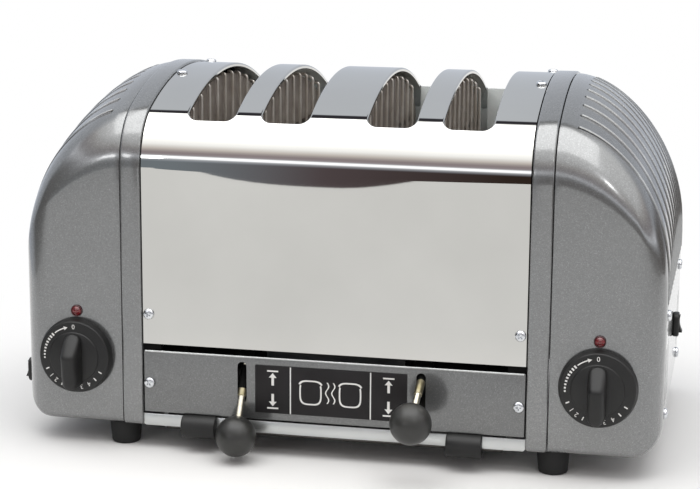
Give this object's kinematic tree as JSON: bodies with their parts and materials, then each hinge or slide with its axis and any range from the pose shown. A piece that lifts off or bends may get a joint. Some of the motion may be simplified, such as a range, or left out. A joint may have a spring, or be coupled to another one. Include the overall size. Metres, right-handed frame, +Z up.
{
  "type": "toaster",
  "caption": "Countertop catering toaster with a polished arched wrap, domed cast ends, lift levers with ball grips and timer knobs.",
  "frame": {"origin": "on the table under the middle of the whole outline, levers and gland included", "axes": "+X to the right seen from the front, +Y to the rear, +Z up; the levers are at -Y"},
  "size_m": [0.3874, 0.262, 0.2172],
  "materials": {
    "paint": "metallic charcoal paint, satin",
    "polished_wrap": "polished stainless sheet",
    "bare_metal": "bare sheet, satin",
    "galvanised": "galvanised sheet",
    "nickel": "nickel plated",
    "zinc_screws": "bright zinc plated",
    "black_plastic": "satin black moulding",
    "label": "black plate",
    "foot_rubber": "matt",
    "board": "mica board",
    "ribbon": "oxidised ribbon",
    "guard_wire": "drawn wire",
    "cream_plastic": "moulded",
    "red_lens": "clear red lens"
  },
  "bodies": {
    "body": {"end_plate_left": "paint", "end_plate_right": "paint", "end_cover_left": "paint", "end_cover_right": "paint", "front_panel": "paint", "rear_panel": "paint", "body_wrap": "polished_wrap", "base_frame": "bare_metal", "tray_runners": "bare_metal", "front_bulkhead": "galvanised", "rear_bulkhead": "galvanised", "lever_brackets_left": "galvanised", "lever_brackets_right": "galvanised", "guide_rods": "nickel", "wrap_screws": "zinc_screws", "panel_screws": "zinc_screws", "cover_screws": "zinc_screws", "foot_studs": "zinc_screws", "tray_clips": "black_plastic", "cord_gland": "black_plastic", "rocker_housing_left": "black_plastic", "rocker_housing_right": "black_plastic", "label_plate": "label", "feet": "foot_rubber", "element_1": "board", "element_2": "board", "element_3": "board", "element_4": "board", "element_5": "board", "element_6": "board", "element_ribbons": "ribbon", "slot_guard_1": "guard_wire", "slot_guard_2": "guard_wire", "slot_guard_3": "guard_wire", "slot_guard_4": "guard_wire", "timer_case_left": "cream_plastic", "timer_case_right": "cream_plastic", "terminal_block": "cream_plastic", "lamp_left": "red_lens", "lamp_right": "red_lens"},
    "lever_left": {"lever_shaft_left": "galvanised", "lever_rod_left": "nickel", "lever_ball_left": "black_plastic", "lift_arm_left": "galvanised"},
    "lift_left": {"carriage_left": "galvanised", "bread_rests_left": "galvanised"},
    "timer_left": {"timer_knob_left": "black_plastic", "timer_spindle_left": "galvanised"},
    "switch_left": {"rocker_left": "black_plastic"},
    "lever_right": {"lever_shaft_right": "galvanised", "lever_rod_right": "nickel", "lever_ball_right": "black_plastic", "lift_arm_right": "galvanised"},
    "lift_right": {"carriage_right": "galvanised", "bread_rests_right": "galvanised"},
    "timer_right": {"timer_knob_right": "black_plastic", "timer_spindle_right": "galvanised"},
    "switch_right": {"rocker_right": "black_plastic"},
    "tray": {"crumb_tray": "bare_metal"}
  },
  "joints": [
    {"name": "lever_left_hinge", "type": "hinge", "parent": "body", "child": "lever_left", "pos_m": [-0.0525, -0.07499, 0.057], "axis": [1, 0, 0], "range_deg": [-32.5, 0]},
    {"name": "lift_left_slide", "type": "slide", "parent": "body", "child": "lift_left", "axis": [0, 0, 1], "range_m": [-0.06, 0]},
    {"name": "timer_left_turn", "type": "hinge", "parent": "body", "child": "timer_left", "pos_m": [-0.1524, -0.08699, 0.0543], "axis": [0, 1, 0], "range_deg": [0, 270]},
    {"name": "lever_right_hinge", "type": "hinge", "parent": "body", "child": "lever_right", "pos_m": [0.0525, -0.07499, 0.057], "axis": [1, 0, 0], "range_deg": [0, 32.5]},
    {"name": "lift_right_slide", "type": "slide", "parent": "body", "child": "lift_right", "axis": [0, 0, 1], "range_m": [0, 0.06]},
    {"name": "timer_right_turn", "type": "hinge", "parent": "body", "child": "timer_right", "pos_m": [0.1524, -0.08699, 0.0543], "axis": [0, 1, 0], "range_deg": [0, 270]},
    {"name": "rocker_left_tilt", "type": "hinge", "parent": "body", "child": "switch_left", "pos_m": [-0.189, -0.06299, 0.037], "axis": [0, -1, 0], "range_deg": [0, 16]},
    {"name": "rocker_right_tilt", "type": "hinge", "parent": "body", "child": "switch_right", "pos_m": [0.189, 0.01501, 0.068], "axis": [0, 1, 0], "range_deg": [0, 16]},
    {"name": "tray_slide", "type": "slide", "parent": "body", "child": "tray", "axis": [0, 1, 0], "range_m": [0, 0.15]}
  ],
  "couplings": [
    {"joint": "lift_left_slide", "follows": "lever_left_hinge", "m_per_rad": 0.10557},
    {"joint": "lift_right_slide", "follows": "lever_right_hinge", "m_per_rad": 0.10557}
  ]
}
